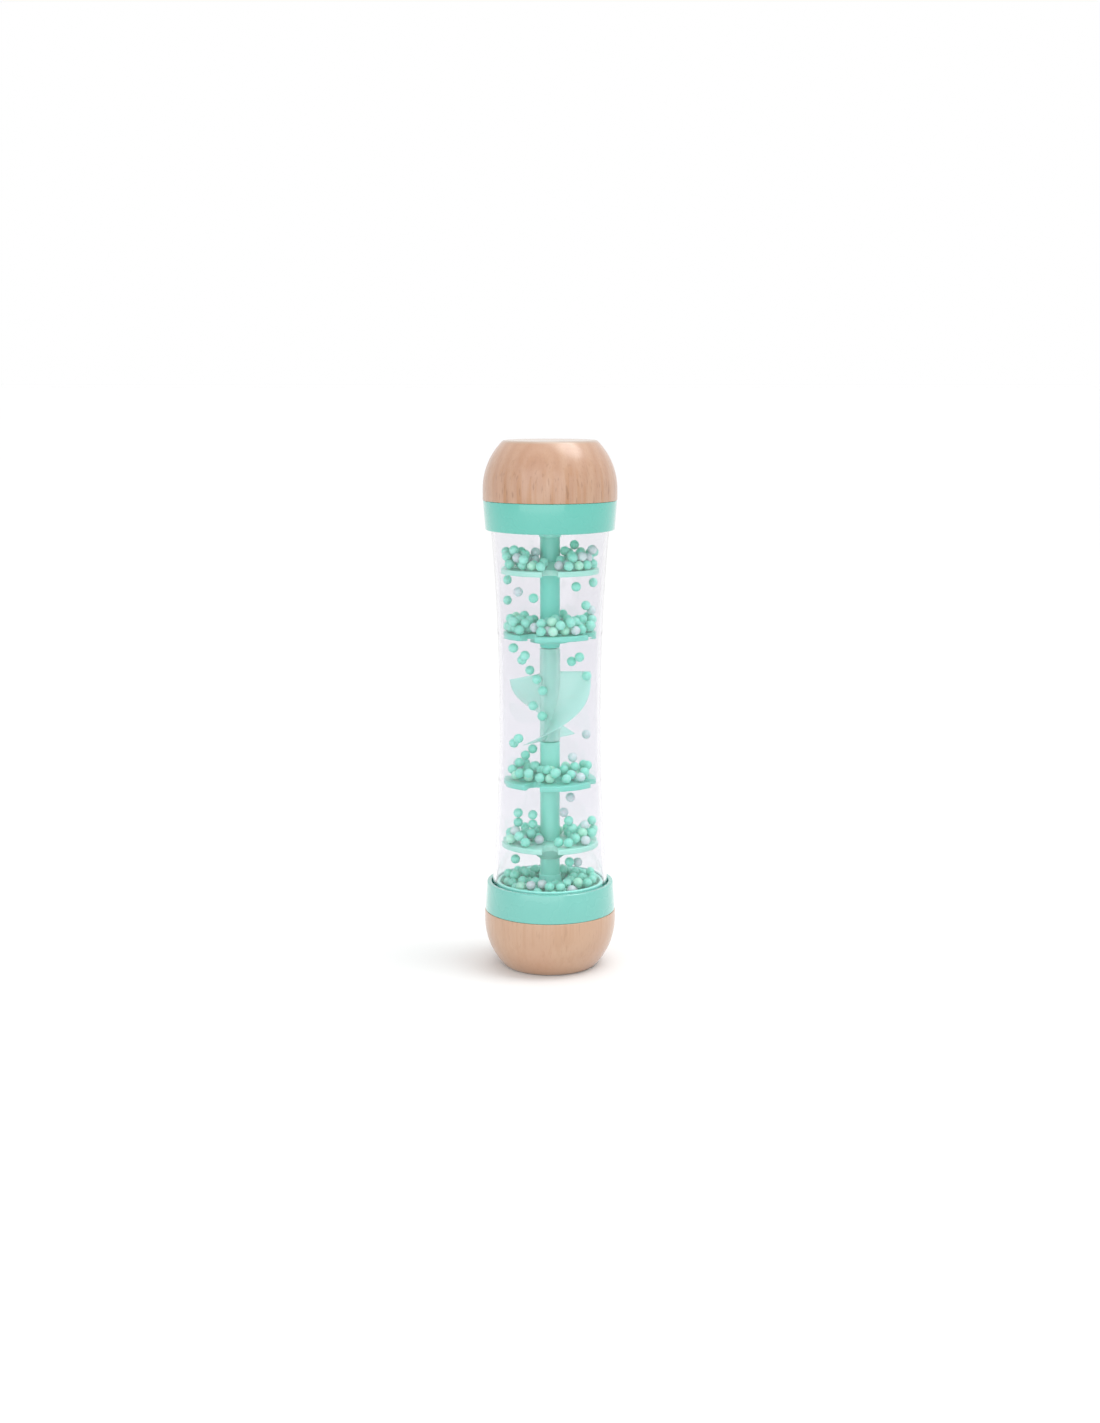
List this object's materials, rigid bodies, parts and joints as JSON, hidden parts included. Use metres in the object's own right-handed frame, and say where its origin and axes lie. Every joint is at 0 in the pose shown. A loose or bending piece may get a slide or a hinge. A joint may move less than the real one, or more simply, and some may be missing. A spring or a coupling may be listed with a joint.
{
  "type": "toy rainstick",
  "caption": "Toy rainstick: clear waisted tube between wooden caps, with beads falling past slotted shelves and a free-turning twisted vane.",
  "frame": {"origin": "centre of the lower cap's flat, on the surface that the stick stands on", "axes": "+Z along the stick's axis to the upper cap, -Y towards the front"},
  "size_m": [0.05, 0.05, 0.2],
  "materials": {
    "beech": "fine-sanded beech, satin oil",
    "mint_plastic": "smooth moulded, satin gloss",
    "deep_mint_plastic": "smooth moulded",
    "pale_mint_plastic": "translucent moulded",
    "clear_plastic": "clear moulded, polished",
    "zinc_steel": "zinc plated",
    "bead_mint": "smooth",
    "bead_lime": "smooth",
    "bead_pearl": "pearl"
  },
  "bodies": {
    "tube_and_caps": {"wooden_cap_bottom": "beech", "wooden_cap_top": "beech", "collar_bottom": "mint_plastic", "collar_top": "mint_plastic", "clear_tube": "clear_plastic", "end_cup_bottom": "deep_mint_plastic", "end_cup_top": "deep_mint_plastic", "lower_post": "deep_mint_plastic", "upper_post": "deep_mint_plastic", "spinner_axle": "deep_mint_plastic", "shelf_1": "pale_mint_plastic", "shelf_2": "deep_mint_plastic", "shelf_3": "deep_mint_plastic", "shelf_4": "pale_mint_plastic", "cap_screws_bottom": "zinc_steel", "cap_screws_top": "zinc_steel", "post_screw_bottom": "zinc_steel", "post_screw_top": "zinc_steel"},
    "spinner": {"spinner": "pale_mint_plastic", "vane_beads_mint": "bead_mint", "vane_beads_pearl": "bead_pearl"},
    "shelf_1_beads": {"shelf_1_beads_mint": "bead_mint", "shelf_1_beads_lime": "bead_lime", "shelf_1_beads_pearl": "bead_pearl"},
    "shelf_2_beads": {"shelf_2_beads_mint": "bead_mint", "shelf_2_beads_lime": "bead_lime", "shelf_2_beads_pearl": "bead_pearl"},
    "shelf_3_beads": {"shelf_3_beads_mint": "bead_mint", "shelf_3_beads_lime": "bead_lime", "shelf_3_beads_pearl": "bead_pearl"},
    "shelf_4_beads": {"shelf_4_beads_mint": "bead_mint", "shelf_4_beads_lime": "bead_lime", "shelf_4_beads_pearl": "bead_pearl"},
    "end_cup_beads": {"end_cup_beads_mint": "bead_mint", "end_cup_beads_lime": "bead_lime", "end_cup_beads_pearl": "bead_pearl"},
    "upper_falling_beads": {"upper_falling_beads_mint": "bead_mint", "upper_falling_beads_pearl": "bead_pearl"},
    "middle_falling_beads": {"middle_falling_beads_mint": "bead_mint"},
    "lower_falling_beads": {"lower_falling_beads_mint": "bead_mint", "lower_falling_beads_pearl": "bead_pearl"}
  },
  "joints": [
    {"name": "spinner_spin", "type": "hinge", "parent": "tube_and_caps", "child": "spinner", "pos_m": [0, 0, 0.1], "axis": [0, 0, 1], "continuous": true},
    {"name": "shelf_1_beads_roll", "type": "hinge", "parent": "tube_and_caps", "child": "shelf_1_beads", "pos_m": [0, 0, 0.152], "axis": [0, 0, 1], "range_deg": [-30, 30]},
    {"name": "shelf_2_beads_roll", "type": "hinge", "parent": "tube_and_caps", "child": "shelf_2_beads", "pos_m": [0, 0, 0.128], "axis": [0, 0, 1], "range_deg": [-30, 30]},
    {"name": "shelf_3_beads_roll", "type": "hinge", "parent": "tube_and_caps", "child": "shelf_3_beads", "pos_m": [0, 0, 0.072], "axis": [0, 0, 1], "range_deg": [-30, 30]},
    {"name": "shelf_4_beads_roll", "type": "hinge", "parent": "tube_and_caps", "child": "shelf_4_beads", "pos_m": [0, 0, 0.048], "axis": [0, 0, 1], "range_deg": [-30, 30]},
    {"name": "end_cup_beads_roll", "type": "hinge", "parent": "tube_and_caps", "child": "end_cup_beads", "pos_m": [0, 0, 0.0272], "axis": [0, 0, 1], "range_deg": [-30, 30]},
    {"name": "upper_falling_beads_drop", "type": "slide", "parent": "tube_and_caps", "child": "upper_falling_beads", "axis": [0, 0, 1], "range_m": [-0.002, 0.001]},
    {"name": "middle_falling_beads_drop", "type": "slide", "parent": "tube_and_caps", "child": "middle_falling_beads", "axis": [0, 0, 1], "range_m": [-0.001, 0.0015]},
    {"name": "lower_falling_beads_drop", "type": "slide", "parent": "tube_and_caps", "child": "lower_falling_beads", "axis": [0, 0, 1], "range_m": [-0.001, 0.002]}
  ]
}
